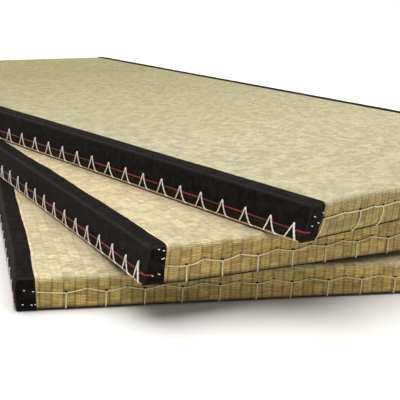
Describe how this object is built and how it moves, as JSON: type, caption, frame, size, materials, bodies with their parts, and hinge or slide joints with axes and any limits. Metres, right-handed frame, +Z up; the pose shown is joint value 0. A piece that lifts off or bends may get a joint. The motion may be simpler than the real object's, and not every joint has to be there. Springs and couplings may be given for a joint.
{
  "type": "stacked tatami mat set",
  "caption": "Flat rectangular tatami mats for use under a futon, stacked and fanned out: woven rush covers, black cloth borders along the long sides and corded edge stitching.",
  "frame": {"origin": "centre of the bottom mat's underside, on the floor it rests on", "axes": "+X along the bottom mat's length towards its front end, +Y across it towards its left long side, +Z up"},
  "size_m": [2.0123, 1.5948, 0.187],
  "materials": {
    "woven_rush": "matte",
    "border_cloth": "matte",
    "backing_cloth": "matte",
    "cotton_cord": "matte",
    "end_cord": "matte",
    "sewing_thread": "matte",
    "lining_paper": "matte",
    "end_board": "matte",
    "fibre_board": "matte",
    "rice_straw": "matte"
  },
  "bodies": {
    "bottom_mat": {"bottom_core_lower_board": "fibre_board", "bottom_core_middle_layer": "rice_straw", "bottom_core_upper_board": "fibre_board", "bottom_front_end_board": "end_board", "bottom_rear_end_board": "end_board", "bottom_backing_sheet": "backing_cloth", "bottom_rush_cover": "woven_rush", "bottom_left_border_lining": "lining_paper", "bottom_right_border_lining": "lining_paper", "bottom_left_border_cloth": "border_cloth", "bottom_right_border_cloth": "border_cloth", "bottom_left_side_stitching": "cotton_cord", "bottom_right_side_stitching": "cotton_cord", "bottom_front_end_stitching": "end_cord", "bottom_rear_end_stitching": "end_cord", "bottom_left_hem_stitching": "sewing_thread", "bottom_right_hem_stitching": "sewing_thread", "bottom_corner_stitches": "cotton_cord", "bottom_quilting_threads": "sewing_thread"},
    "middle_mat": {"middle_core_lower_board": "fibre_board", "middle_core_middle_layer": "rice_straw", "middle_core_upper_board": "fibre_board", "middle_front_end_board": "end_board", "middle_rear_end_board": "end_board", "middle_backing_sheet": "backing_cloth", "middle_rush_cover": "woven_rush", "middle_left_border_lining": "lining_paper", "middle_right_border_lining": "lining_paper", "middle_left_border_cloth": "border_cloth", "middle_right_border_cloth": "border_cloth", "middle_left_side_stitching": "cotton_cord", "middle_right_side_stitching": "cotton_cord", "middle_front_end_stitching": "end_cord", "middle_rear_end_stitching": "end_cord", "middle_left_hem_stitching": "sewing_thread", "middle_right_hem_stitching": "sewing_thread", "middle_corner_stitches": "cotton_cord", "middle_quilting_threads": "sewing_thread"},
    "top_mat": {"top_core_lower_board": "fibre_board", "top_core_middle_layer": "rice_straw", "top_core_upper_board": "fibre_board", "top_front_end_board": "end_board", "top_rear_end_board": "end_board", "top_backing_sheet": "backing_cloth", "top_rush_cover": "woven_rush", "top_left_border_lining": "lining_paper", "top_right_border_lining": "lining_paper", "top_left_border_cloth": "border_cloth", "top_right_border_cloth": "border_cloth", "top_left_side_stitching": "cotton_cord", "top_right_side_stitching": "cotton_cord", "top_front_end_stitching": "end_cord", "top_rear_end_stitching": "end_cord", "top_left_hem_stitching": "sewing_thread", "top_right_hem_stitching": "sewing_thread", "top_corner_stitches": "cotton_cord", "top_quilting_threads": "sewing_thread"}
  },
  "joints": [
    {"name": "middle_mat_turn", "type": "hinge", "parent": "bottom_mat", "child": "middle_mat", "pos_m": [0.213, -0.009, 0.0625], "axis": [0, 0, 1], "range_deg": [-13.75, 76.25]},
    {"name": "top_mat_turn", "type": "hinge", "parent": "middle_mat", "child": "top_mat", "pos_m": [-0.05997, -0.07991, 0.125], "axis": [0, 0, 1], "range_deg": [-12.1, 77.9]}
  ]
}
